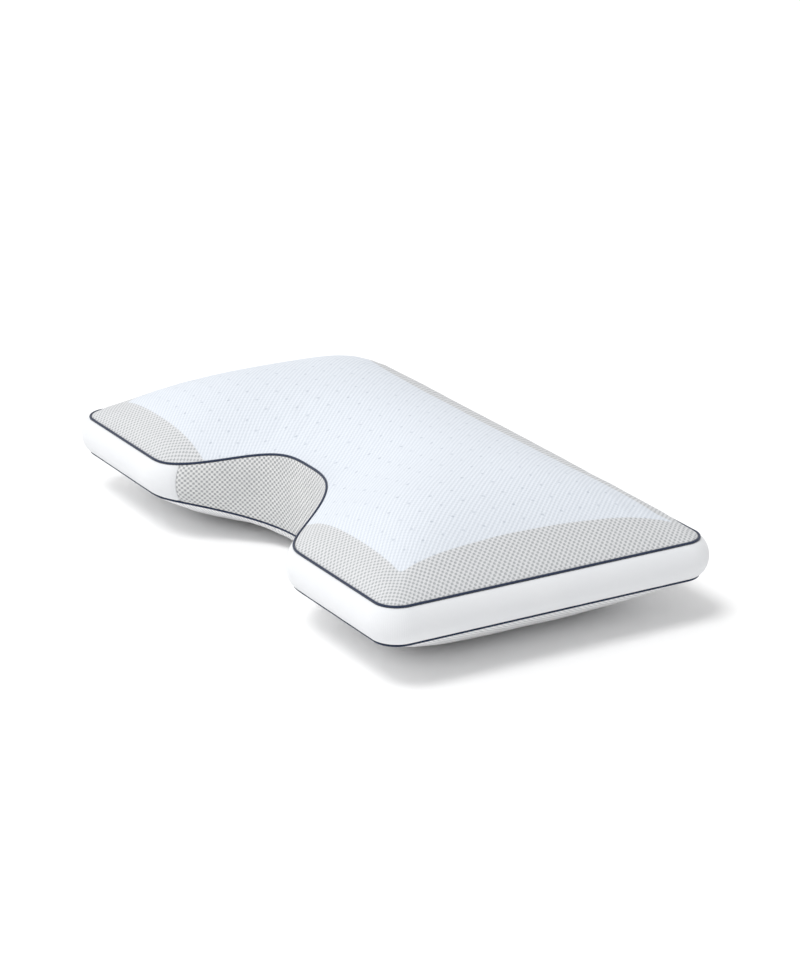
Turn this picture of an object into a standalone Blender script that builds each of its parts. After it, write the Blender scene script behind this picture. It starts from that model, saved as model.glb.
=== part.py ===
# Contoured foam pillow with a shoulder cutout: a filled cushion with a crowned top and
# bottom, a white band round its sides, a mesh band round the cutout, and a piping along
# each seam. Metres, +Z up. X runs along the pillow and the cutout is in its -Y side.
import math

import bpy
import numpy as np
from mathutils import Vector
from mathutils.geometry import delaunay_2d_cdt

# Plan, measured along the piped seams
SEAM_LENGTH = 0.640
SEAM_WIDTH = 0.356
CORNER_RADIUS = 0.023
CUTOUT_HALF_WIDTH = 0.163
CUTOUT_DEPTH = 0.0957
CUTOUT_FLATNESS = 3.3  # a higher power makes the bottom of the cutout flatter
CUTOUT_FLARE = 3.9  # a higher power rounds the mouth of the cutout more

# Heights
BAND_HEIGHT = 0.0383  # from seam to seam along the straight sides
CUTOUT_WALL_HEIGHT = 0.0837  # from seam to seam at the back of the cutout
WALL_RISE_POWER = 1.4  # a higher power keeps the wall low for longer near the mouth
TOP_CROWN = 0.0565  # rise of the top above its seam, far from any edge
BOTTOM_CROWN = 0.055
REST_DEPTH = 0.044  # the underside lies flat this far below its seam
SHOULDER = 0.125  # distance in from the seam at which the crown is at its full height
CUTOUT_SHOULDER = 0.016  # the same for the underside, at the back of the cutout
SHOULDER_NARROWS = (0.45, 0.95)  # the shares of the cutout's depth between which it narrows
HIP_ROUNDING = 0.022  # how far the crown is rounded over where two sides meet

# Bands, cloth and piping
SIDE_BULGE = 0.010
CUTOUT_BULGE = 0.003
BULGE_ROUNDNESS = 0.7  # a lower power makes a band's section fuller near its seams
CLOTH = 0.002
GAP = 0.0003
PIPING_RADIUS = 0.00125
PIPING_CLEARANCE = PIPING_RADIUS + 0.0006
SEAM_LIP = 0.0008  # how far a band's edge stands out under the piping
PANEL_LIP = PIPING_CLEARANCE * 0.65  # how far a panel's edge stands above the seam
TUCK = PIPING_CLEARANCE * 0.15  # how far the body's sides start below the seam
BAND_SEAM_STATION = 5  # stations in from the mouth where the two bands are joined

# How finely the shape is divided
STATIONS = {"front": 7, "cutout": 40, "corner": 6, "short": 10, "back": 20}
PANEL_RINGS = (0.0023, 0.0085, 0.0160)  # distances in from the seam
PANEL_GRID = 0.022
CLEAR_OF_RING = PANEL_GRID * 0.62  # least distance from a grid point to the inner ring
RECESS_LEVELS = 7
BAND_LEVELS = 7
PIPING_BEVEL = 2
SHARP_DEGREES = 50  # shading breaks where two faces meet more sharply than this
SAME_POINT = 1e-7
FAR_FROM_EDGE = 1e-6  # the least share of the edge that is still read as a distance

HALF_LENGTH = SEAM_LENGTH / 2
HALF_WIDTH = SEAM_WIDTH / 2
MIDDLE = BAND_HEIGHT / 2 + REST_DEPTH  # height of the plane midway between the seams


def clear_scene():
    for item in list(bpy.data.objects):
        bpy.data.objects.remove(item, do_unlink=True)


def cutout_share(x):
    """How deep the cutout is at x, as a share of its full depth: a bell."""
    across = min(abs(x) / CUTOUT_HALF_WIDTH, 1.0)
    return (1 - across**CUTOUT_FLATNESS) ** CUTOUT_FLARE


def front_line(x):
    """Where the seam of the -Y side runs at x."""
    return -HALF_WIDTH + CUTOUT_DEPTH * cutout_share(x)


def corner_arc(centre_x, centre_y, start_degrees):
    """The points of one rounded corner, without its last one."""
    points = []
    for step in range(STATIONS["corner"]):
        angle = math.radians(start_degrees + 90 * step / STATIONS["corner"])
        reach = Vector((math.cos(angle), math.sin(angle))) * CORNER_RADIUS
        points.append((centre_x + reach.x, centre_y + reach.y))
    return points


def straight(start, end, steps):
    """Evenly spaced points of a straight side, without its last one."""
    shares = np.arange(steps)[:, None] / steps
    return [tuple(point) for point in np.array(start) * (1 - shares) + np.array(end) * shares]


def seam_outline():
    """The seam in plan, anticlockwise from the left end of the front, and how deep in the
    cutout each of its points lies."""
    inner_x = HALF_LENGTH - CORNER_RADIUS
    inner_y = HALF_WIDTH - CORNER_RADIUS
    mouth = CUTOUT_HALF_WIDTH
    points = straight((-inner_x, -HALF_WIDTH), (-mouth, -HALF_WIDTH), STATIONS["front"])
    for step in range(STATIONS["cutout"]):
        x = mouth * (2 * step / STATIONS["cutout"] - 1)
        points.append((x, front_line(x)))
    points += straight((mouth, -HALF_WIDTH), (inner_x, -HALF_WIDTH), STATIONS["front"])
    points += corner_arc(inner_x, -inner_y, -90)
    points += straight((HALF_LENGTH, -inner_y), (HALF_LENGTH, inner_y), STATIONS["short"])
    points += corner_arc(inner_x, inner_y, 0)
    points += straight((inner_x, HALF_WIDTH), (-inner_x, HALF_WIDTH), STATIONS["back"])
    points += corner_arc(-inner_x, inner_y, 90)
    points += straight((-HALF_LENGTH, inner_y), (-HALF_LENGTH, -inner_y), STATIONS["short"])
    points += corner_arc(-inner_x, -inner_y, 180)
    outline = np.array(points)
    first = STATIONS["front"]
    inside = np.zeros(len(outline))
    for station in range(first, first + STATIONS["cutout"]):
        inside[station] = cutout_share(outline[station, 0])
    return outline, inside


OUTLINE, CUTOUT_INSIDE = seam_outline()
ALONG = np.roll(OUTLINE, -1, axis=0) - np.roll(OUTLINE, 1, axis=0)
ALONG /= np.linalg.norm(ALONG, axis=1)[:, None]
OUTWARD = np.stack([ALONG[:, 1], -ALONG[:, 0]], axis=1)
WALL_RISE = (CUTOUT_WALL_HEIGHT - BAND_HEIGHT) / 2
SEAM_HEIGHT = BAND_HEIGHT / 2 + WALL_RISE * CUTOUT_INSIDE**WALL_RISE_POWER
BAND_REACH = SEAM_HEIGHT - PIPING_CLEARANCE
BULGE = SIDE_BULGE + (CUTOUT_BULGE - SIDE_BULGE) * np.sqrt(CUTOUT_INSIDE)


def ring(offset, height):
    """A ring of points at each station's offset out from the seam and height above the middle."""
    plan = OUTLINE + OUTWARD * np.broadcast_to(offset, len(OUTLINE))[:, None]
    return np.column_stack([plan, np.broadcast_to(height, len(OUTLINE))])


def band_face(level):
    """How far a band's outer face stands out at each station; level runs from -1 to 1."""
    return SEAM_LIP + (BULGE - SEAM_LIP) * (1 - level**2) ** BULGE_ROUNDNESS


def levels(count):
    """Levels from the top seam to the bottom one, closer together near the seams."""
    return [math.cos(math.pi * k / (count - 1)) for k in range(count)]


def grid_filling(inner_ring):
    """The grid points that fill a panel inside its innermost ring."""
    columns = int(HALF_LENGTH / PANEL_GRID)
    rows = int(HALF_WIDTH / PANEL_GRID)
    filling = []
    for column in range(-columns, columns + 1):
        for row in range(-rows, rows + 1):
            spot = np.array([column, row]) * PANEL_GRID
            to_ring = np.linalg.norm(inner_ring - spot, axis=1).min()
            to_edge = np.linalg.norm(OUTLINE - spot, axis=1).min()
            clear = to_ring > CLEAR_OF_RING and to_edge > PANEL_RINGS[-1] + PANEL_GRID / 2
            if clear and spot[1] > front_line(spot[0]):
                filling.append(tuple(spot))
    return filling


def facing_up(points, triangles):
    """The triangles, with those that face down turned over."""
    start, second, third = (points[triangles[:, corner]] for corner in range(3))
    across = second - start
    along = third - start
    turn = across[:, 0] * along[:, 1] - across[:, 1] * along[:, 0]
    return np.where(turn[:, None] < 0, triangles[:, ::-1], triangles)


def panel_plan():
    """The plan of the top or bottom panel: its points and triangles. The first points are
    those of its edge, one for each station."""
    rings = [OUTLINE - OUTWARD * inset for inset in PANEL_RINGS]
    count = len(OUTLINE)
    triangles = []
    for k in range(len(rings) - 1):
        for i in range(count):
            j = (i + 1) % count
            outer, inner = k * count, (k + 1) * count
            triangles.append((outer + i, outer + j, inner + j))
            triangles.append((outer + i, inner + j, inner + i))
    filling = grid_filling(rings[-1])
    flat = [Vector(point) for point in [*rings[-1], *filling]]
    edges = [(i, (i + 1) % count) for i in range(count)]
    faces, origins = delaunay_2d_cdt(flat, edges, [], 1, SAME_POINT)[2:4]
    innermost = (len(rings) - 1) * count
    for face in faces:
        triangles.append(tuple(innermost + origins[corner][0] for corner in face))
    points = np.concatenate([*rings, np.array(filling)])
    return points, facing_up(points, np.array(triangles))


def cloth_balance(points, triangles, reach):
    """The tension and the support of a cloth that levels out over the given distance."""
    size = len(points)
    tension = np.zeros((size, size))
    support = np.zeros(size)
    for triangle in triangles:
        corners = points[triangle]
        sides = np.roll(corners, -1, axis=0) - np.roll(corners, -2, axis=0)
        area = abs(sides[0, 0] * sides[1, 1] - sides[0, 1] * sides[1, 0]) / 2
        tension[np.ix_(triangle, triangle)] += sides @ sides.T / (4 * area)
        support[triangle] += area / 3
    return tension, support / reach**2


def levelled(balance, edge_values, goal):
    """Values over a panel that are held at its edge and are drawn to the goal inside it."""
    tension, support = balance
    held = len(edge_values)
    system = tension + np.diag(support)
    pull = support[held:] * goal - system[held:, :held] @ edge_values
    return np.concatenate([edge_values, np.linalg.solve(system[held:, held:], pull)])


def crown_height(points, triangles, edge_heights, edge_shoulders, crown):
    """Heights of a panel over its filling: from the seam up a rounded shoulder to the crown."""
    rounding = cloth_balance(points, triangles, HIP_ROUNDING)
    near = levelled(rounding, np.zeros(len(edge_heights)), 1.0)
    distance = -HIP_ROUNDING * np.log(np.maximum(1 - near, FAR_FROM_EDGE))
    spreading = cloth_balance(points, triangles, SHOULDER / 2)
    seam = levelled(spreading, edge_heights, BAND_HEIGHT / 2)
    shoulder = levelled(spreading, edge_shoulders, SHOULDER)
    rise = 1 - (1 - np.minimum(distance / shoulder, 1)) ** 2
    return seam + (BAND_HEIGHT / 2 + crown - seam) * rise


def add_object(name, points, faces, material):
    mesh = bpy.data.meshes.new(name)
    mesh.from_pydata([tuple(p) for p in points], [], [tuple(map(int, f)) for f in faces])
    mesh.validate()
    mesh.materials.append(material)
    mesh.shade_smooth()
    mesh.set_sharp_from_angle(angle=math.radians(SHARP_DEGREES))
    built = bpy.data.objects.new(name, mesh)
    built.location.z = MIDDLE
    bpy.context.scene.collection.objects.link(built)
    return built


def cloth_material(name, colour, roughness):
    material = bpy.data.materials.new(name)
    material.use_nodes = True
    shader = material.node_tree.nodes["Principled BSDF"]
    shader.inputs["Base Color"].default_value = (*colour, 1.0)
    shader.inputs["Roughness"].default_value = roughness
    shader.inputs["Metallic"].default_value = 0.0
    return material


def build_body(material):
    """The filled cushion: both panels and the sides behind the bands, which are set in by
    the thickness of the bands."""
    plan, triangles = panel_plan()
    edge_heights = SEAM_HEIGHT + PANEL_LIP
    wide = np.full(len(OUTLINE), SHOULDER)
    narrowed = np.interp(CUTOUT_INSIDE, SHOULDER_NARROWS, (SHOULDER, CUTOUT_SHOULDER))
    top_height = crown_height(plan, triangles, edge_heights, wide, TOP_CROWN)
    bottom_depth = crown_height(plan, triangles, edge_heights, narrowed, BOTTOM_CROWN)
    top = np.column_stack([plan, top_height])
    bottom = np.column_stack([plan, -np.minimum(bottom_depth, MIDDLE)])
    under_top = ring(-PIPING_CLEARANCE, SEAM_HEIGHT - TUCK)
    over_bottom = ring(-PIPING_CLEARANCE, TUCK - SEAM_HEIGHT)
    recess = [
        ring(band_face(level) - CLOTH - GAP, BAND_REACH * level)
        for level in levels(RECESS_LEVELS)
    ]
    sides = [under_top, *recess, over_bottom]
    count = len(OUTLINE)
    points = np.concatenate([top, bottom, *sides])
    faces = [tuple(t) for t in triangles]
    faces += [tuple(t[::-1] + len(top)) for t in triangles]
    side_starts = [len(top) * 2 + k * count for k in range(len(sides))]
    starts = [0, *side_starts, len(top)]
    for upper, lower in zip(starts, starts[1:]):
        for i in range(count):
            j = (i + 1) % count
            faces.append((upper + i, lower + i, lower + j, upper + j))
    return add_object("pillow_body", points, faces, material)


def build_band(name, stations, material):
    """A strip of cloth along some of the stations, a little short of the seams that join it
    to the next band."""
    downward = levels(BAND_LEVELS)
    outer = [ring(band_face(level), BAND_REACH * level) for level in downward]
    inner = [ring(band_face(level) - CLOTH, BAND_REACH * level) for level in downward[::-1]]
    section = np.stack([*outer, *inner])
    loops = [section[:, station] for station in stations]
    for end, following in ((0, 1), (-1, -2)):
        towards = loops[following] - loops[end]
        span = np.linalg.norm(towards, axis=1)[:, None]
        loops[end] = loops[end] + towards / span * GAP / 2
    width = len(section)
    faces = []
    for k in range(len(loops) - 1):
        here, there = k * width, (k + 1) * width
        for i in range(width):
            j = (i + 1) % width
            faces.append((here + i, here + j, there + j, there + i))
    faces.append(tuple(reversed(range(width))))
    faces.append(tuple((len(loops) - 1) * width + i for i in range(width)))
    return add_object(name, np.concatenate(loops), faces, material)


def build_piping(name, side, material):
    """A thin covered cord in the seam; side is 1 for the top seam and -1 for the bottom."""
    path = ring(0.0, side * SEAM_HEIGHT)
    curve = bpy.data.curves.new(name, "CURVE")
    curve.dimensions = "3D"
    curve.twist_mode = "Z_UP"
    curve.bevel_depth = PIPING_RADIUS
    curve.bevel_resolution = PIPING_BEVEL
    spline = curve.splines.new("POLY")
    spline.points.add(len(path) - 1)
    for point, place in zip(spline.points, path):
        point.co = (*place, 1.0)
    spline.use_cyclic_u = True
    spline.use_smooth = True
    curve.materials.append(material)
    built = bpy.data.objects.new(name, curve)
    built.location.z = MIDDLE
    bpy.context.scene.collection.objects.link(built)
    return built


def build_pillow():
    panel_mesh = cloth_material("Panel mesh", (0.77, 0.82, 0.88), 0.9)
    white_knit = cloth_material("White knit", (0.90, 0.91, 0.93), 0.85)
    wall_mesh = cloth_material("Cutout mesh", (0.66, 0.67, 0.68), 0.9)
    navy_piping = cloth_material("Navy piping", (0.035, 0.055, 0.13), 0.7)
    build_body(panel_mesh)
    first = STATIONS["front"] + BAND_SEAM_STATION
    last = STATIONS["front"] + STATIONS["cutout"] - BAND_SEAM_STATION
    total = len(OUTLINE)
    build_band("cutout_band", list(range(first, last + 1)), wall_mesh)
    around = [station % total for station in range(last, total + first + 1)]
    build_band("side_band", around, white_knit)
    build_piping("top_piping", 1, navy_piping)
    build_piping("bottom_piping", -1, navy_piping)


clear_scene()
build_pillow()
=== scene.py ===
import math

import bpy
import numpy as np
from mathutils import Matrix, Vector, noise
from mathutils.bvhtree import BVHTree
from mathutils.geometry import delaunay_2d_cdt
from mathutils.kdtree import KDTree


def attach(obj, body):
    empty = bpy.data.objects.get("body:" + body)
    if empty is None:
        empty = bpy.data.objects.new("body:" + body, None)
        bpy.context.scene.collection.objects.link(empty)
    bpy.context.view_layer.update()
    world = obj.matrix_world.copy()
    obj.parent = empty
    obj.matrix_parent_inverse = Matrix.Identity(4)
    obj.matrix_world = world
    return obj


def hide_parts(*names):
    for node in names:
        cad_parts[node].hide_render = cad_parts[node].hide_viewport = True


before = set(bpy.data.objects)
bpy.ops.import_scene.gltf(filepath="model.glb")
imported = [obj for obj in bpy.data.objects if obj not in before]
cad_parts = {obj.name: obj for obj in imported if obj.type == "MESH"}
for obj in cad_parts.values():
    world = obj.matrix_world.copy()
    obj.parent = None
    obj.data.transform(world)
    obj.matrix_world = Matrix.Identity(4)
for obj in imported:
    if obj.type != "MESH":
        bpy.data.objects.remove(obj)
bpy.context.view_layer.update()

# Camera: same height, turn and lens as the picture was taken with

cameraView = {
    "azimuth": 59.487,  # degrees round from the cutout side
    "elevation": 20.178,
    "distance": 3.3398,
    "target": (0.00652, 0.01986, 0.06315),
    "lens": 121.53,
    "sensorWidth": 36.0,
}


def addCamera():
    azimuth = math.radians(cameraView["azimuth"])
    elevation = math.radians(cameraView["elevation"])
    level = math.cos(elevation)
    back = Vector((math.sin(azimuth) * level, -math.cos(azimuth) * level, math.sin(elevation)))
    right = Vector((math.cos(azimuth), math.sin(azimuth), 0))
    turn = Matrix((right, back.cross(right), back)).transposed()
    bpy.ops.object.camera_add()
    camera = bpy.context.object
    camera.name = "studioCamera"
    camera.location = Vector(cameraView["target"]) + back * cameraView["distance"]
    camera.rotation_euler = turn.to_euler()
    camera.data.sensor_width = cameraView["sensorWidth"]
    camera.data.lens = cameraView["lens"]
    camera.data.clip_end = 100
    bpy.context.scene.camera = camera


addCamera()
print("camera placed")

# Shape of the sewn cover, in metres, as the solid model has it

pillow = {
    "seamLength": 0.640,
    "seamWidth": 0.356,
    "cornerRadius": 0.023,
    "cutoutHalfWidth": 0.163,
    "cutoutDepth": 0.0957,
    "cutoutFlatness": 3.3,
    "cutoutFlare": 3.9,
    "bandHeight": 0.0383,
    "wallHeight": 0.0837,  # at the back of the cutout
    "wallRise": 1.4,
    "middle": 0.06315,  # height midway between the two seams
    "bandJoint": 0.12225,  # how far from the middle the mesh wall is sewn to the white band
}


def cutoutShare(x):
    across = np.minimum(np.abs(x) / pillow["cutoutHalfWidth"], 1.0)
    return (1 - across ** pillow["cutoutFlatness"]) ** pillow["cutoutFlare"]


def frontLine(x):
    return -pillow["seamWidth"] / 2 + pillow["cutoutDepth"] * cutoutShare(x)


# The seam in plan, anticlockwise from the left end of the cutout side, as a dense line
def seamLine():
    halfLength = pillow["seamLength"] / 2
    halfWidth = pillow["seamWidth"] / 2
    radius = pillow["cornerRadius"]
    innerX = halfLength - radius
    innerY = halfWidth - radius
    frontX = np.linspace(-innerX, innerX, 1200, endpoint=False)
    runs = [np.stack([frontX, frontLine(frontX)], axis=1)]
    corners = [(innerX, -innerY, -90), (innerX, innerY, 0), (-innerX, innerY, 90), (-innerX, -innerY, 180)]
    ends = [(halfLength, innerY), (-innerX, halfWidth), (-halfLength, -innerY)]
    for corner, (centreX, centreY, startDegrees) in enumerate(corners):
        angle = np.radians(startDegrees + np.linspace(0, 90, 60))
        bend = np.stack([np.cos(angle), np.sin(angle)], axis=1) * radius + (centreX, centreY)
        runs.append(bend[:-1])
        if corner < len(ends):
            runs.append(np.linspace(bend[-1], ends[corner], 300, endpoint=False))
    line = np.concatenate(runs)
    line = np.concatenate([line, line[:1]])
    run = np.concatenate([[0], np.cumsum(np.linalg.norm(np.diff(line, axis=0), axis=1))])
    return line, run, run[len(frontX)]


seamPoints, seamRun, frontRun = seamLine()
seamTotal = seamRun[-1]


# Plan points, outward directions and depths into the cutout at distances along the seam
def seamAt(distance):
    wrapped = np.mod(distance, seamTotal)
    plan = np.stack([np.interp(wrapped, seamRun, seamPoints[:, k]) for k in range(2)], axis=1)
    ahead = []
    for reach in (0.0015, -0.0015):
        near = np.mod(distance + reach, seamTotal)
        ahead.append(np.stack([np.interp(near, seamRun, seamPoints[:, k]) for k in range(2)], axis=1))
    along = ahead[0] - ahead[1]
    along /= np.linalg.norm(along, axis=1)[:, None]
    outward = np.stack([along[:, 1], -along[:, 0]], axis=1)
    inside = np.where(wrapped < frontRun, cutoutShare(plan[:, 0]), 0.0)
    return plan, outward, inside


def seamHeight(inside):
    rise = (pillow["wallHeight"] - pillow["bandHeight"]) / 2
    return pillow["bandHeight"] / 2 + rise * inside ** pillow["wallRise"]


def whereOnFront(x):  # distance along the seam at which the cutout side passes x
    front = seamRun < frontRun
    return float(np.interp(x, seamPoints[front, 0], seamRun[front]))


def softNoise(places, scale, seed):
    return np.array([noise.noise(Vector(place) * scale + Vector((seed, 0, 0))) for place in places])


# Tools for materials and cloth

def linearColour(hexText):
    channels = [int(hexText[k:k + 2], 16) / 255 for k in (1, 3, 5)]
    return [c / 12.92 if c <= 0.04045 else ((c + 0.055) / 1.055) ** 2.4 for c in channels] + [1.0]


def addNode(tree, kind, links=(), output=0, **settings):
    node = tree.nodes.new(kind)
    for name, value in settings.items():
        setattr(node, name, value)
    for socket, value in dict(links).items():
        if isinstance(value, bpy.types.NodeSocket):
            tree.links.new(value, node.inputs[socket])
        else:
            node.inputs[socket].default_value = value
    return node.outputs[output]


# Settings of a Mix node that mixes the colours in its inputs 6 and 7
colourMix = {"output": 2, "data_type": "RGBA"}


def startMaterial(name, roughness, sheen, sheenRoughness):
    material = bpy.data.materials.new(name)
    material.use_nodes = True
    shader = material.node_tree.nodes["Principled BSDF"]
    shader.inputs["Roughness"].default_value = roughness
    shader.inputs["Sheen Weight"].default_value = sheen
    shader.inputs["Sheen Roughness"].default_value = sheenRoughness
    shader.inputs["Specular IOR Level"].default_value = 0.25  # polyester yarn, which scatters most light
    return material, material.node_tree, shader


# Cosines of the two diagonal directions of a mesh knit: holes lie where both are high
def meshLattice(tree, cloth, pitch):
    wander = addNode(tree, "ShaderNodeTexNoise", {"Vector": cloth, "Scale": 34.0, "Detail": 1.0})
    centred = addNode(tree, "ShaderNodeVectorMath", {0: wander, 1: (0.5, 0.5, 0.5)}, operation="SUBTRACT")
    drift = addNode(tree, "ShaderNodeVectorMath", {0: centred, 3: 0.0011}, operation="SCALE")
    laid = addNode(tree, "ShaderNodeVectorMath", {0: cloth, 1: drift}, operation="ADD")
    turned = addNode(tree, "ShaderNodeMapping", {
        "Vector": laid,
        "Rotation": (0, 0, math.pi / 4),
        "Scale": (2 * math.pi / pitch,) * 3,
    })
    split = addNode(tree, "ShaderNodeSeparateXYZ", {0: turned}).node
    cross = addNode(tree, "ShaderNodeMath", {0: split.outputs["X"]}, operation="COSINE")
    ribs = addNode(tree, "ShaderNodeMath", {0: split.outputs["Y"]}, operation="COSINE")
    return ribs, cross


def clothGrid(name, columns, rows, laidAt, cutAt):
    bpy.ops.object.select_all(action="DESELECT")
    bpy.ops.mesh.primitive_grid_add(x_subdivisions=columns, y_subdivisions=rows, size=1)
    piece = bpy.context.object
    piece.name = piece.data.name = name
    mesh = piece.data
    flat = np.empty(len(mesh.vertices) * 3)
    mesh.vertices.foreach_get("co", flat)
    share = flat.reshape(-1, 3)[:, :2] + 0.5
    mesh.vertices.foreach_set("co", laidAt(share[:, 0], share[:, 1]).ravel())
    cut = cutAt(share[:, 0], share[:, 1])
    corners = np.empty(len(mesh.loops), dtype=np.int32)
    mesh.loops.foreach_get("vertex_index", corners)
    mesh.uv_layers.active.name = "cloth"
    mesh.uv_layers.active.data.foreach_set("uv", cut[corners].ravel())
    mesh.update()
    return piece


def applyModifier(piece, kind, **settings):
    bpy.ops.object.select_all(action="DESELECT")
    piece.select_set(True)
    bpy.context.view_layer.objects.active = piece
    modifier = piece.modifiers.new(kind.lower(), kind)
    for name, value in settings.items():
        setattr(modifier, name, value)
    bpy.ops.object.modifier_apply(modifier=modifier.name)


def finishPiece(piece, node, slot, *materials):
    for material in materials:
        piece.data.materials.append(material)
    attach(piece, "root")
    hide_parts(node)


# Filled cushion: foam under a mesh cover, with its top and bottom panels

cushion = {
    "rings": (0.0014, 0.0033, 0.0066, 0.0110, 0.0163),  # metres in from the seam
    "gridStep": 0.0058,
    "rimLip": 0.0009,  # how far a panel's rim stands above the seam
    "sideLevels": 7,
    "slack": 0.0006,  # how much smaller the cover starts, before the foam fills it
    "pressure": 4.0,
    "frames": 20,
    "mostMove": 0.0032,
    "heldTo": 0.007,  # metres in from the seam that stay put
    "freeFrom": 0.034,
    "foamUneven": 0.0004,
    "pucker": 0.00035,
    "puckerReach": 0.008,
    "puckerSpacing": 0.015,
    "yarnEvens": 0.022,  # metres over which the yarns even out what they run over
    "pull": 0.28,  # how much the knit is stretched where the cutout pulls it
    "pullAt": -0.050,
    "pullReach": 0.060,
    "pullWidth": 0.150,
}
bandFit = {
    "sideBulge": 0.010,
    "cutoutBulge": 0.003,
    "roundness": 0.7,
    "lip": 0.0008,
    "clearance": 0.00135,  # from the seam's centre line to the cloth's edge, where the piping sits
    "thickness": 0.0018,
    "behind": 0.0023,  # from a band's outer face to the foam
}


def bandFace(level, inside):
    bulge = bandFit["sideBulge"] + (bandFit["cutoutBulge"] - bandFit["sideBulge"]) * np.sqrt(inside)
    return bandFit["lip"] + (bulge - bandFit["lip"]) * (1 - level**2) ** bandFit["roundness"]


def panelNet():
    count = round(seamTotal / cushion["gridStep"])
    plan, outward, inside = seamAt(np.arange(count) * seamTotal / count)
    rings = [plan - outward * inset for inset in cushion["rings"]]
    faces = []
    for k in range(len(rings) - 1):
        for i in range(count):
            j = (i + 1) % count
            faces.append((k * count + i, k * count + j, (k + 1) * count + j))
            faces.append((k * count + i, (k + 1) * count + j, (k + 1) * count + i))
    step = cushion["gridStep"]
    columns = np.arange(-int(0.5 * pillow["seamLength"] / step), int(0.5 * pillow["seamLength"] / step) + 1)
    rows = np.arange(-int(0.5 * pillow["seamWidth"] / step), int(0.5 * pillow["seamWidth"] / step) + 1)
    spots = np.stack(np.meshgrid(columns, rows), axis=-1).reshape(-1, 2) * step
    spots = spots[spots[:, 1] > frontLine(spots[:, 0])]
    tree = KDTree(count)
    for i, point in enumerate(plan):
        tree.insert((*point, 0), i)
    tree.balance()
    inner = cushion["rings"][-1] + step * 0.6
    halfLength, halfWidth = pillow["seamLength"] / 2 - inner, pillow["seamWidth"] / 2 - inner
    filling = [
        spot for spot in spots
        if abs(spot[0]) < halfLength and abs(spot[1]) < halfWidth and tree.find((*spot, 0))[2] > inner
    ]
    flat = [Vector(point) for point in [*rings[-1], *filling]]
    loop = [(i, (i + 1) % count) for i in range(count)]
    made, origins = delaunay_2d_cdt(flat, loop, [], 1, 1e-7)[2:4]
    last = (len(rings) - 1) * count
    faces += [tuple(last + origins[corner][0] for corner in face) for face in made]
    points = np.concatenate([*rings, np.array(filling)])
    faces = np.array(faces)
    a, b, c = (points[faces[:, k]] for k in range(3))
    turn = (b[:, 0] - a[:, 0]) * (c[:, 1] - a[:, 1]) - (b[:, 1] - a[:, 1]) * (c[:, 0] - a[:, 0])
    faces[turn < 0] = faces[turn < 0][:, ::-1]
    return points, faces, count, plan, outward, inside


def cadSurface(node):
    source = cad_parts[node].data
    return BVHTree.FromPolygons([v.co for v in source.vertices], [tuple(p.vertices) for p in source.polygons])


def makeCushion():
    points, faces, count, plan, outward, inside = panelNet()
    body = cadSurface("pillow_body")
    rim = seamHeight(inside) + cushion["rimLip"]
    middle = pillow["middle"]
    sheets = []
    for side in (1, -1):
        height = np.empty(len(points))
        for i, (x, y) in enumerate(points):
            found = body.ray_cast(Vector((x, y, middle + side)), Vector((0, 0, -side)))[0]
            height[i] = found.z if found else middle + side * rim[i % count]
        height[:count] = middle + side * rim
        sheets.append(np.column_stack([points, height]))
    seamTree = KDTree(count)
    for i, point in enumerate(plan):
        seamTree.insert((*point, 0), i)
    seamTree.balance()
    fromSeam = np.array([seamTree.find((*point, 0))[2] for point in points])
    loosen = np.clip((fromSeam - cushion["heldTo"]) / (cushion["freeFrom"] - cushion["heldTo"]), 0, 1)
    loosen = loosen**2 * (3 - 2 * loosen)
    resting = sheets[1][:, 2] < 0.0006
    sheets[0][:, 2] -= cushion["slack"] * loosen
    sheets[1][:, 2] += np.where(resting, 0, cushion["slack"] * loosen)
    sides = [np.column_stack([plan - outward * bandFit["clearance"], middle + seamHeight(inside)])]
    for k in range(cushion["sideLevels"]):
        level = math.cos(math.pi * k / (cushion["sideLevels"] - 1))
        reach = bandFace(level, inside) - bandFit["behind"]
        height = middle + (seamHeight(inside) - bandFit["clearance"]) * level
        sides.append(np.column_stack([plan + outward * reach[:, None], height]))
    sides.append(np.column_stack([plan - outward * bandFit["clearance"], middle - seamHeight(inside)]))
    vertices = np.concatenate([*sheets, *sides])
    polygons = [tuple(map(int, f)) for f in faces]
    polygons += [tuple(map(int, f[::-1] + len(points))) for f in faces]
    starts = [0, *[len(points) * 2 + k * count for k in range(len(sides))], len(points)]
    for upper, lower in zip(starts, starts[1:]):
        polygons += [(upper + i, lower + i, lower + (i + 1) % count, upper + (i + 1) % count) for i in range(count)]
    mesh = bpy.data.meshes.new("foamPillow")
    mesh.from_pydata([tuple(v) for v in vertices], [], polygons)
    mesh.validate()
    piece = bpy.data.objects.new("foamPillow", mesh)
    bpy.context.scene.collection.objects.link(piece)
    weight = np.ones(len(vertices))
    weight[:len(points)] = 1 - loosen
    weight[len(points):2 * len(points)] = np.where(resting, 1, 1 - loosen)
    held = piece.vertex_groups.new(name="held")
    for i, w in enumerate(weight):
        held.add([i], float(w), "REPLACE")
    return piece, vertices


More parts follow.
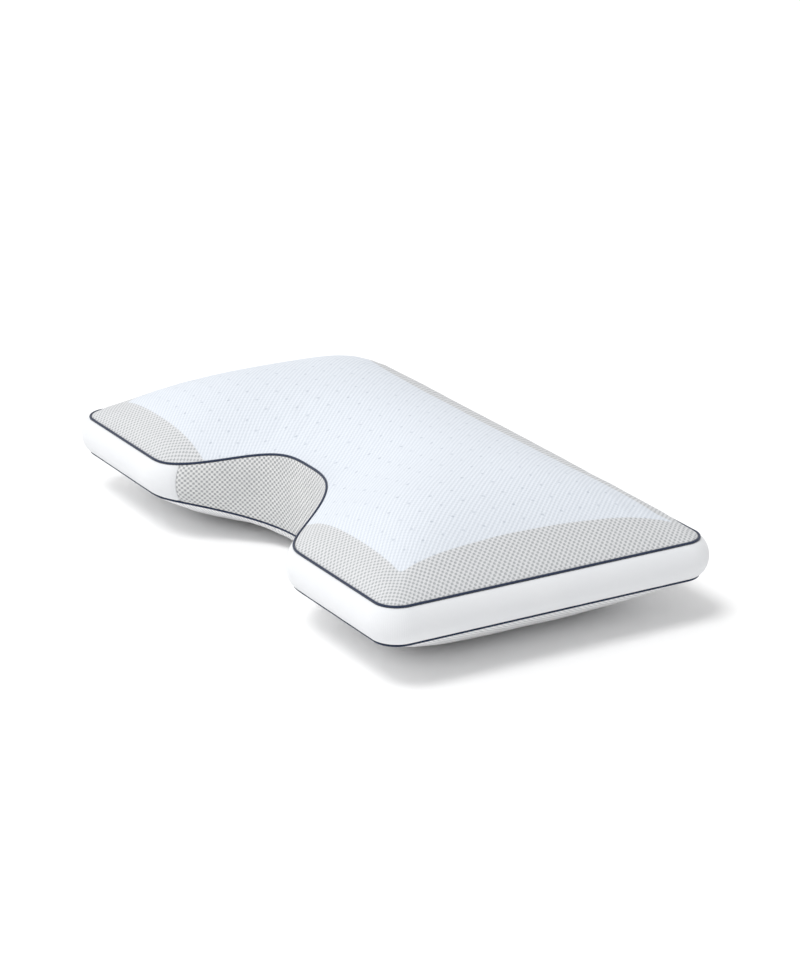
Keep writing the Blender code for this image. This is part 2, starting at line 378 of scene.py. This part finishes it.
def fillWithFoam(piece, start):
    bpy.ops.object.select_all(action="DESELECT")
    piece.select_set(True)
    bpy.context.view_layer.objects.active = piece
    cloth = piece.modifiers.new("cover", "CLOTH")
    cover = cloth.settings
    cover.quality = 5
    cover.tension_stiffness = cover.compression_stiffness = 40
    cover.shear_stiffness = 20
    cover.bending_stiffness = 4
    cover.use_pressure = True
    cover.uniform_pressure_force = cushion["pressure"]
    cover.vertex_group_mass = "held"
    cover.effector_weights.gravity = 0
    cloth.point_cache.frame_start = 1
    cloth.point_cache.frame_end = cushion["frames"]
    for step in range(1, cushion["frames"] + 1):
        bpy.context.scene.frame_set(step)
    bpy.ops.object.modifier_apply(modifier=cloth.name)
    bpy.context.scene.frame_set(1)
    filled = np.empty(len(start) * 3)
    piece.data.vertices.foreach_get("co", filled)
    move = filled.reshape(-1, 3) - start
    far = np.linalg.norm(move, axis=1)
    print("cover filled: points moved", round(far.mean() * 1000, 2), "mm, at most", round(far.max() * 1000, 2))
    capped = cushion["mostMove"] * np.tanh(far / cushion["mostMove"])
    settled = start + move * (capped / np.maximum(far, 1e-9))[:, None]
    settled[:, 2] = np.maximum(settled[:, 2], 0)
    piece.data.vertices.foreach_set("co", settled.ravel())
    piece.data.update()


# A field evened out both ways, as a stretched yarn evens out what lies under it
def evenedOut(field, step):
    reach = math.ceil(3 * cushion["yarnEvens"] / step)
    weights = np.exp(-0.5 * (np.arange(-reach, reach + 1) * step / cushion["yarnEvens"]) ** 2)
    for axis in (0, 1):
        field = np.apply_along_axis(np.convolve, axis, field, weights / weights.sum(), "same")
    return field


# Cloth measures over a panel: how far a yarn runs from the middle, over the crown
def clothRun(piece, side):
    tree = BVHTree.FromObject(piece, bpy.context.evaluated_depsgraph_get())
    step = 0.005
    xs = np.arange(-66, 67) * step
    ys = np.arange(-38, 39) * step
    height = np.full((len(ys), len(xs)), np.nan)
    for row, y in enumerate(ys):
        for column, x in enumerate(xs):
            found = tree.ray_cast(Vector((x, y, pillow["middle"] + side)), Vector((0, 0, -side)))[0]
            if found:
                height[row, column] = found.z
    covered = np.isfinite(height).astype(float)
    runs = []
    for axis, spots in ((1, xs), (0, ys)):
        slope = np.nan_to_num(np.diff(height, axis=axis)) / step
        slope = np.clip(slope, -1.4, 1.4)
        excess = (np.sqrt(1 + slope**2) - 1) * step
        total = np.insert(np.cumsum(excess, axis=axis), 0, 0, axis=axis)
        total -= np.take(total, [len(spots) // 2], axis=axis)
        eased = evenedOut(total * covered, step) / np.maximum(evenedOut(covered, step), 1e-6)
        plain = xs[None, :] if axis == 1 else ys[:, None]
        runs.append(plain + eased)

    def cutAt(x, y):
        column = np.clip((x - xs[0]) / step, 0, len(xs) - 1.001)
        row = np.clip((y - ys[0]) / step, 0, len(ys) - 1.001)
        i, j = row.astype(int), column.astype(int)
        di, dj = row - i, column - j
        mixed = [
            (r[i, j] * (1 - dj) + r[i, j + 1] * dj) * (1 - di)
            + (r[i + 1, j] * (1 - dj) + r[i + 1, j + 1] * dj) * di
            for r in runs
        ]
        pulled = np.tanh((y - cushion["pullAt"]) / cushion["pullReach"])
        beside = np.exp(-0.5 * (x / cushion["pullWidth"]) ** 2)
        mixed[1] -= cushion["pull"] * cushion["pullReach"] * pulled * beside
        return np.stack(mixed, axis=1)

    return cutAt


def dressCushion(piece):
    mesh = piece.data
    count = len(mesh.vertices)
    spots = np.empty(count * 3)
    mesh.vertices.foreach_get("co", spots)
    spots = spots.reshape(-1, 3)
    normals = np.empty(count * 3)
    mesh.vertices.foreach_get("normal", normals)
    normals = normals.reshape(-1, 3)
    steps = round(seamTotal / 0.003)
    plan = seamAt(np.arange(steps) * seamTotal / steps)[0]
    tree = KDTree(steps)
    for i, point in enumerate(plan):
        tree.insert((*point, 0), i)
    tree.balance()
    nearest = [tree.find((x, y, 0)) for x, y in spots[:, :2]]
    fromSeam = np.array([found[2] for found in nearest])
    along = np.array([found[1] for found in nearest]) * seamTotal / steps
    flatness = np.abs(normals[:, 2])
    free = (spots[:, 2] > 0.0008) * np.clip((flatness - 0.4) / 0.3, 0, 1)
    uneven = softNoise(spots, 14.0, 3.1) * cushion["foamUneven"] * np.clip(fromSeam / 0.03, 0, 1)
    ripple = softNoise(np.column_stack([along, spots[:, 2], along * 0]) / cushion["puckerSpacing"], 1.0, 7.7)
    pucker = ripple * cushion["pucker"] * np.exp(-fromSeam / cushion["puckerReach"])
    pucker *= np.clip((fromSeam - 0.002) / 0.003, 0, 1)
    moved = spots + normals * ((uneven + pucker) * free)[:, None]
    moved[:, 2] = np.maximum(moved[:, 2], 0)
    mesh.vertices.foreach_set("co", moved.ravel())
    mesh.update()
    corners = np.empty(len(mesh.loops), dtype=np.int32)
    mesh.loops.foreach_get("vertex_index", corners)
    faceNormals = np.empty(len(mesh.polygons) * 3)
    mesh.polygons.foreach_get("normal", faceNormals)
    faceUp = faceNormals.reshape(-1, 3)[:, 2]
    sizes = np.empty(len(mesh.polygons), dtype=np.int32)
    mesh.polygons.foreach_get("loop_total", sizes)
    cornerUp = np.repeat(faceUp, sizes)
    cut = np.zeros((len(corners), 2))
    places = moved[corners]
    for side in (1, -1):
        chosen = cornerUp * side > 0
        cut[chosen] = clothRun(piece, side)(places[chosen, 0], places[chosen, 1])
    layer = mesh.uv_layers.new(name="cloth")
    layer.data.foreach_set("uv", cut.ravel())
    mesh.polygons.foreach_set("material_index", (faceUp <= 0).astype(np.int32))
    mesh.shade_smooth()
    mesh.update()


# Knitted polyester mesh, heat set: soft matt yarn round small open holes, which read as dark dots; the dots are
# painted shade, the shade falling into the holes
meshKnit = {
    "pitch": 0.00391,  # metres from hole to hole
    "ground": "#d8d9db",
    # hole colour: painted shade in the holes, here and in the underside's hole colour
    "hole": "#adb0b2",
    "underGroundPaintedLight": "#f7f7f8",  # the underside has the same knit, its colours painted lighter: painted bounce light under the pillow
    "underHolePaintedLight": "#cdcfd1",
    "coolRidge": "#dfe4eb",
    # valleys between the ribs painted darker: painted shade in the grooves
    "coolValley": "#d1d7df",
    "vent": "#9ba4b1",  # pin holes of the foam, which show through the cool yarn, darkened with painted shade
    "ventSpacing": 0.0207,
    "coolEnd": 0.2777,  # half length of the cool part, in plan
    "coolEndBow": 0.45,  # how fast it widens away from its narrowest place
    "coolEndFrom": -0.020,
    "coolFront": -0.1437,
    "coolBack": 0.1025,
    "coolBackTurn": 0.010,  # slope of its back edge
    "coolBackStraight": 0.03,  # half length over which that edge is straight
    "coolBackReach": 0.235,
    "coolBackDrawn": 0.036,  # how far it is drawn back at the ends
    "coolBackPower": 3.5,
    "coolCorner": 0.010,
    "coolEdge": 0.0009,  # half width of the change of yarn
}


# 1 where the cool yarn is knitted in, by the place on the pillow: straight in front, with
# bowed ends and a back edge that is drawn back towards the corners
def coolZone(tree):
    place = addNode(tree, "ShaderNodeTexCoord", output="Object")
    split = addNode(tree, "ShaderNodeSeparateXYZ", {0: place}).node
    worked = {"x": split.outputs["X"], "y": split.outputs["Y"]}
    for result, operation, *terms in (
        ("fromMiddle", "ABSOLUTE", "x"),
        ("behind", "SUBTRACT", "y", meshKnit["coolEndFrom"]),
        ("behindSquared", "MULTIPLY", "behind", "behind"),
        ("bow", "MULTIPLY", "behindSquared", meshKnit["coolEndBow"]),
        ("end", "ADD", "bow", meshKnit["coolEnd"]),
        ("toEnd", "SUBTRACT", "end", "fromMiddle"),
        ("pastStraight", "SUBTRACT", "fromMiddle", meshKnit["coolBackStraight"]),
        ("outer", "MAXIMUM", "pastStraight", 0.0),
        ("outerShare", "DIVIDE", "outer", meshKnit["coolBackReach"]),
        ("drawn", "POWER", "outerShare", meshKnit["coolBackPower"]),
        ("turned", "MULTIPLY_ADD", "x", meshKnit["coolBackTurn"], meshKnit["coolBack"]),
        ("backEdge", "MULTIPLY_ADD", "drawn", meshKnit["coolBackDrawn"], "turned"),
        ("toBack", "SUBTRACT", "backEdge", "y"),
        ("toFront", "SUBTRACT", "y", meshKnit["coolFront"]),
        ("across", "MINIMUM", "toBack", "toFront"),
        ("within", "SMOOTH_MIN", "toEnd", "across", meshKnit["coolCorner"]),
    ):
        links = {socket: worked.get(term, term) for socket, term in enumerate(terms)}
        worked[result] = addNode(tree, "ShaderNodeMath", links, operation=operation)
    return addNode(tree, "ShaderNodeMapRange", {
        "Value": worked["within"], "From Min": -meshKnit["coolEdge"], "From Max": meshKnit["coolEdge"],
    }, interpolation_type="SMOOTHSTEP")


def meshKnitMaterial(name, cool):
    material, tree, shader = startMaterial(name, 0.88, 0.12, 0.5)
    cloth = addNode(tree, "ShaderNodeUVMap", uv_map="cloth")
    ribs, cross = meshLattice(tree, cloth, meshKnit["pitch"])
    both = addNode(tree, "ShaderNodeMath", {0: ribs, 1: cross}, operation="ADD")
    hole = addNode(tree, "ShaderNodeMapRange", {
        "Value": both, "From Min": -0.5, "From Max": 1.4,
    }, interpolation_type="SMOOTHSTEP")
    fibre = addNode(tree, "ShaderNodeTexNoise", {"Vector": cloth, "Scale": 900.0, "Detail": 3.0})
    # the underside's colours are painted lighter, painted light for the bounce light under the pillow
    yarn, gap = ("ground", "hole") if cool else ("underGroundPaintedLight", "underHolePaintedLight")
    # the holes are darkened with painted shade
    colour = addNode(tree, "ShaderNodeMix", {
        0: hole, 6: linearColour(meshKnit[yarn]), 7: linearColour(meshKnit[gap]),
    }, **colourMix)
    height = addNode(tree, "ShaderNodeMath", {0: hole, 1: -1.0}, operation="MULTIPLY")
    if cool:
        zone = coolZone(tree)
        weakCross = addNode(tree, "ShaderNodeMath", {0: cross, 1: 0.40}, operation="MULTIPLY")
        ribbing = addNode(tree, "ShaderNodeMath", {0: ribs, 1: weakCross}, operation="ADD")
        valley = addNode(tree, "ShaderNodeMapRange", {
            "Value": ribbing, "From Min": -1.0, "From Max": 1.1,
        }, interpolation_type="SMOOTHSTEP")
        # ridge to valley: the valleys are painted darker, painted shade in the grooves
        coolColour = addNode(tree, "ShaderNodeMix", {
            0: valley, 6: linearColour(meshKnit["coolRidge"]), 7: linearColour(meshKnit["coolValley"]),
        }, **colourMix)
        vents = addNode(tree, "ShaderNodeVectorMath", {
            0: cloth, 3: 2 * math.pi / meshKnit["ventSpacing"],
        }, operation="SCALE")
        ventSplit = addNode(tree, "ShaderNodeSeparateXYZ", {0: vents}).node
        waves = [
            addNode(tree, "ShaderNodeMath", {0: ventSplit.outputs[axis]}, operation="COSINE")
            for axis in ("X", "Y")
        ]
        peaks = addNode(tree, "ShaderNodeMath", {0: waves[0], 1: waves[1]}, operation="ADD")
        # the pin holes are painted darker: painted shade in them
        vent = addNode(tree, "ShaderNodeMapRange", {
            "Value": peaks, "From Min": 1.85, "From Max": 1.97, "To Max": 0.7,
        }, interpolation_type="SMOOTHSTEP")
        patchy = addNode(tree, "ShaderNodeTexNoise", {"Vector": cloth, "Scale": 45.0})
        strength = addNode(tree, "ShaderNodeMath", {0: vent, 1: patchy}, operation="MULTIPLY")
        coolColour = addNode(tree, "ShaderNodeMix", {
            0: strength, 6: coolColour, 7: linearColour(meshKnit["vent"]),
        }, **colourMix)
        colour = addNode(tree, "ShaderNodeMix", {0: zone, 6: colour, 7: coolColour}, **colourMix)
        rounded = addNode(tree, "ShaderNodeMath", {0: valley, 1: -0.55}, operation="MULTIPLY")
        dented = addNode(tree, "ShaderNodeMath", {0: rounded, 1: strength}, operation="SUBTRACT")
        height = addNode(tree, "ShaderNodeMix", {0: zone, 2: height, 3: dented})
    fuzz = addNode(tree, "ShaderNodeMapRange", {"Value": fibre, "To Min": 0.93, "To Max": 1.05})
    colour = addNode(tree, "ShaderNodeMix", {0: 1.0, 6: colour, 7: fuzz}, **colourMix, blend_type="MULTIPLY")
    tree.links.new(colour, shader.inputs["Base Color"])
    fine = addNode(tree, "ShaderNodeMath", {0: fibre, 1: 0.25}, operation="MULTIPLY")
    relief = addNode(tree, "ShaderNodeMath", {0: height, 1: fine}, operation="ADD")
    bump = addNode(tree, "ShaderNodeBump", {"Height": relief, "Strength": 0.7, "Distance": 0.0006})
    tree.links.new(bump, shader.inputs["Normal"])
    return material


foamPillow, coverStart = makeCushion()
print("cushion drafted with", len(foamPillow.data.polygons), "faces")
fillWithFoam(foamPillow, coverStart)
applyModifier(foamPillow, "SUBSURF", levels=1, render_levels=1)
dressCushion(foamPillow)
finishPiece(
    foamPillow, "pillow_body", "panel_mesh_knit",
    meshKnitMaterial("knittedPolyesterMeshCool", True),
    # underside material: the same knit with painted light, its colours painted lighter
    meshKnitMaterial("knittedPolyesterMeshUnderPaintedLight", False),
)
print("cushion made")

# Bands: white jersey round the sides, spacer mesh round the cutout

band = {
    "cell": 0.0034,  # metres between stations along a band
    "rows": 22,
    "fold": 0.0030,  # length of the turned-in end at the joint
    "foldDepth": 0.0013,
    "joinGap": 0.00035,
    "wave": 0.00045,
    "waveLength": 0.075,
    "pucker": 0.00022,
    "puckerSpacing": 0.013,
    "jointBow": 0.0022,  # how far the sewn joint bows outwards at mid height
    "jointBowReach": 0.012,
}


def makeBand(name, start, end, seed):
    length = end - start
    columns = round(length / band["cell"])

    def bowed(distance, belly):  # the joints bow away from the cutout
        moved = distance
        for joint, towards in ((jointLeft, -1), (jointRight, 1), (jointLeft + seamTotal, -1)):
            near = np.exp(-0.5 * ((distance - joint) / band["jointBowReach"]) ** 2)
            moved = moved + towards * band["jointBow"] * belly * near
        return moved

    def laidAt(u, v):
        distance = start + u * length
        level = -np.cos(math.pi * v)
        belly = 1 - level**2
        plan, outward, inside = seamAt(bowed(distance, belly))
        face = bandFace(level, inside)
        spots = np.column_stack([distance / band["waveLength"], v * 1.3, v * 0])
        face = face + softNoise(spots, 1.0, seed) * band["wave"] * belly
        puckers = np.column_stack([distance / band["puckerSpacing"], v * 2, v * 0])
        face = face + softNoise(puckers, 1.0, seed + 4) * band["pucker"] * np.abs(level) ** 3 * (belly > 0)
        toEnd = np.minimum(distance - start, end - distance)
        turnIn = 1 - np.clip(toEnd / band["fold"], 0, 1)
        face = face - band["foldDepth"] * (1 - np.sqrt(np.maximum(1 - turnIn**2, 0)))
        height = pillow["middle"] + (seamHeight(inside) - bandFit["clearance"]) * level
        return np.column_stack([plan + outward * face[:, None], height])

    def cutAt(u, v):
        distance = start + u * length
        inside = seamAt(distance)[2]
        level = -np.cos(math.pi * v)
        steps = np.linspace(0, 1, 40)
        tall = seamHeight(inside) - bandFit["clearance"]
        run = np.zeros(len(u))
        for low, high in zip(steps, steps[1:]):
            part = [np.abs(level) * low, np.abs(level) * high]
            rise = tall * (part[1] - part[0])
            out = bandFace(part[1], inside) - bandFace(part[0], inside)
            run += np.hypot(rise, out)
        return np.column_stack([distance, np.sign(level) * run])

    piece = clothGrid(name, columns, band["rows"], laidAt, cutAt)
    applyModifier(piece, "SOLIDIFY", thickness=bandFit["thickness"], offset=-1.0)
    piece.data.shade_smooth()
    piece.data.set_sharp_from_angle(angle=math.radians(60))
    return piece


# White jersey of polyester and elastane: smooth and faintly lustrous, with upright wales of stitches
def whiteJersey():
    material, tree, shader = startMaterial("jerseyKnitWhite", 0.80, 0.25, 0.35)
    cloth = addNode(tree, "ShaderNodeUVMap", uv_map="cloth")
    # real wales are 0.8 mm apart, too fine to show, so they are drawn 1.5 mm apart
    turned = addNode(tree, "ShaderNodeMapping", {"Vector": cloth, "Scale": (2 * math.pi / 0.0015,) * 3})
    split = addNode(tree, "ShaderNodeSeparateXYZ", {0: turned}).node
    wale = addNode(tree, "ShaderNodeMath", {0: split.outputs["X"]}, operation="COSINE")
    course = addNode(tree, "ShaderNodeMath", {0: split.outputs["Y"]}, operation="SINE")
    loops = addNode(tree, "ShaderNodeMath", {0: wale, 1: course}, operation="MULTIPLY")
    stitch = addNode(tree, "ShaderNodeMath", {0: wale, 1: loops}, operation="ADD")
    clouds = addNode(tree, "ShaderNodeTexNoise", {"Vector": cloth, "Scale": 22.0, "Detail": 2.0})
    tint = addNode(tree, "ShaderNodeMix", {
        0: clouds, 6: linearColour("#e2e4e7"), 7: linearColour("#e8e9eb"),
    }, **colourMix)
    shade = addNode(tree, "ShaderNodeMapRange", {
        "Value": stitch, "From Min": -2.0, "From Max": 2.0, "To Min": 0.965, "To Max": 1.0,
    })
    colour = addNode(tree, "ShaderNodeMix", {0: 1.0, 6: tint, 7: shade}, **colourMix, blend_type="MULTIPLY")
    tree.links.new(colour, shader.inputs["Base Color"])
    bump = addNode(tree, "ShaderNodeBump", {"Height": stitch, "Strength": 0.25, "Distance": 0.0001})
    tree.links.new(bump, shader.inputs["Normal"])
    return material


# Spacer mesh, warp knitted in two layers: open holes with the shaded inner layer behind them
def wallMesh():
    material, tree, shader = startMaterial("spacerMeshGrey", 0.9, 0.12, 0.5)
    cloth = addNode(tree, "ShaderNodeUVMap", uv_map="cloth")
    ribs, cross = meshLattice(tree, cloth, 0.00368)
    both = addNode(tree, "ShaderNodeMath", {0: ribs, 1: cross}, operation="ADD")
    hole = addNode(tree, "ShaderNodeMapRange", {
        "Value": both, "From Min": -0.6, "From Max": 1.3,
    }, interpolation_type="SMOOTHSTEP")
    fibre = addNode(tree, "ShaderNodeTexNoise", {"Vector": cloth, "Scale": 900.0, "Detail": 3.0})
    streak = addNode(tree, "ShaderNodeTexNoise", {"Vector": cloth, "Scale": 26.0, "Detail": 2.0})
    yarn = addNode(tree, "ShaderNodeMix", {
        0: streak, 6: linearColour("#d3d4d5"), 7: linearColour("#ebebea"),
    }, **colourMix)
    colour = addNode(tree, "ShaderNodeMix", {0: hole, 6: yarn, 7: linearColour("#a6a8aa")}, **colourMix)
    fuzz = addNode(tree, "ShaderNodeMapRange", {"Value": fibre, "To Min": 0.93, "To Max": 1.05})
    colour = addNode(tree, "ShaderNodeMix", {0: 1.0, 6: colour, 7: fuzz}, **colourMix, blend_type="MULTIPLY")
    tree.links.new(colour, shader.inputs["Base Color"])
    depth = addNode(tree, "ShaderNodeMath", {0: hole, 1: -1.0}, operation="MULTIPLY")
    fine = addNode(tree, "ShaderNodeMath", {0: fibre, 1: 0.25}, operation="MULTIPLY")
    relief = addNode(tree, "ShaderNodeMath", {0: depth, 1: fine}, operation="ADD")
    bump = addNode(tree, "ShaderNodeBump", {"Height": relief, "Strength": 0.8, "Distance": 0.0007})
    tree.links.new(bump, shader.inputs["Normal"])
    return material


jointLeft = whereOnFront(-pillow["bandJoint"])
jointRight = whereOnFront(pillow["bandJoint"])
half = band["joinGap"] / 2
cutoutBand = makeBand("cutoutBand", jointLeft + half, jointRight - half, 2.3)
finishPiece(cutoutBand, "cutout_band", "spacer_mesh", wallMesh())
sideBand = makeBand("sideBand", jointRight + half, jointLeft + seamTotal - half, 9.1)
finishPiece(sideBand, "side_band", "white_knit", whiteJersey())
print("bands made")

# Piping: a cord sewn into each seam under a bias-cut strip

piping = {
    "radius": 0.00115,
    "cell": 0.0016,
    "sides": 12,
    "uneven": 0.00006,
}


def makePiping(name, side):
    def laidAt(u, v):
        distance = u * seamTotal
        plan, outward, inside = seamAt(distance)
        angle = 2 * math.pi * v
        around = 2 * math.pi * u
        spots = np.column_stack([np.cos(around), np.sin(around), np.cos(angle) * 0.01])
        radius = piping["radius"] + softNoise(spots, 40.0, side) * piping["uneven"]
        reach = outward * (np.cos(angle) * radius)[:, None]
        height = pillow["middle"] + side * seamHeight(inside) + np.sin(angle) * radius
        return np.column_stack([plan + reach, height])

    def cutAt(u, v):
        return np.column_stack([u * seamTotal, v * 2 * math.pi * piping["radius"]])

    piece = clothGrid(name, round(seamTotal / piping["cell"]), piping["sides"], laidAt, cutAt)
    bpy.ops.object.mode_set(mode="EDIT")
    bpy.ops.mesh.select_all(action="SELECT")
    bpy.ops.mesh.remove_doubles(threshold=0.00002)
    bpy.ops.object.mode_set(mode="OBJECT")
    piece.data.shade_smooth()
    return piece


# Navy cotton-polyester twill, cut on the bias and drawn over a cord: fine slanting ribs
def navyTwill():
    material, tree, shader = startMaterial("biasTwillNavy", 0.72, 0.35, 0.4)
    cloth = addNode(tree, "ShaderNodeUVMap", uv_map="cloth")
    # real twill ribs are 0.5 mm apart, drawn at 0.9 mm
    turned = addNode(tree, "ShaderNodeMapping", {
        "Vector": cloth, "Rotation": (0, 0, math.radians(35)), "Scale": (2 * math.pi / 0.0009,) * 3,
    })
    split = addNode(tree, "ShaderNodeSeparateXYZ", {0: turned}).node
    rib = addNode(tree, "ShaderNodeMath", {0: split.outputs["X"]}, operation="COSINE")
    lift = addNode(tree, "ShaderNodeMapRange", {"Value": rib, "From Min": -1.0, "From Max": 1.0})
    fade = addNode(tree, "ShaderNodeTexNoise", {"Vector": cloth, "Scale": 60.0, "Detail": 2.0})
    dark = addNode(tree, "ShaderNodeMix", {
        0: fade, 6: linearColour("#151d2e"), 7: linearColour("#1d273e"),
    }, **colourMix)
    # rib tops painted lighter than the dark ground: a painted highlight on the twill ribs
    colour = addNode(tree, "ShaderNodeMix", {0: lift, 6: dark, 7: linearColour("#303c56")}, **colourMix)
    tree.links.new(colour, shader.inputs["Base Color"])
    bump = addNode(tree, "ShaderNodeBump", {"Height": lift, "Strength": 0.5, "Distance": 0.00012})
    tree.links.new(bump, shader.inputs["Normal"])
    return material


twill = navyTwill()
for name, node, side in (("topPiping", "top_piping", 1), ("bottomPiping", "bottom_piping", -1)):
    finishPiece(makePiping(name, side), node, "navy_piping", twill)
print("pipings made")

# Studio: one pale floor, an even white sky, a soft light overhead, which casts the close
# shadow, and a broad one from the left, which shades the pillow

studio = {
    "floorSize": 80.0,
    "floor": "#fcfcfc",
    "sky": 0.64,
    "lights": {  # energy, elevation, degrees round from the cutout side, softness in degrees
        "overheadLight": (1.31, 66.0, 12.0, 24.0),
        "broadLight": (0.90, 35.0, -50.0, 80.0),
    },
}


def addLight(name, energy, elevationDegrees, azimuthDegrees, softness):
    bpy.ops.object.light_add(type="SUN")
    light = bpy.context.object
    light.name = name
    light.data.energy = energy
    light.data.angle = math.radians(softness)
    azimuth, elevation = math.radians(azimuthDegrees), math.radians(elevationDegrees)
    level = math.cos(elevation)
    towards = Vector((math.sin(azimuth) * level, -math.cos(azimuth) * level, math.sin(elevation)))
    light.rotation_euler = towards.to_track_quat("Z", "Y").to_euler()


def addStudio():
    bpy.ops.object.select_all(action="DESELECT")
    bpy.ops.mesh.primitive_plane_add(size=studio["floorSize"])
    floor = bpy.context.object
    floor.name = "studioFloor"
    material = bpy.data.materials.new("paperSweep")  # matt white background paper
    material.use_nodes = True
    shader = material.node_tree.nodes["Principled BSDF"]
    shader.inputs["Base Color"].default_value = linearColour(studio["floor"])
    shader.inputs["Roughness"].default_value = 1.0
    shader.inputs["Specular IOR Level"].default_value = 0.0
    floor.data.materials.append(material)
    world = bpy.data.worlds.new("studioSky")
    world.use_nodes = True
    background = world.node_tree.nodes["Background"]
    background.inputs["Color"].default_value = (1, 1, 1, 1)
    background.inputs["Strength"].default_value = studio["sky"]
    bpy.context.scene.world = world
    for name, values in studio["lights"].items():
        addLight(name, *values)
    bpy.context.scene.view_settings.view_transform = "Standard"


addStudio()
print("studio lit")
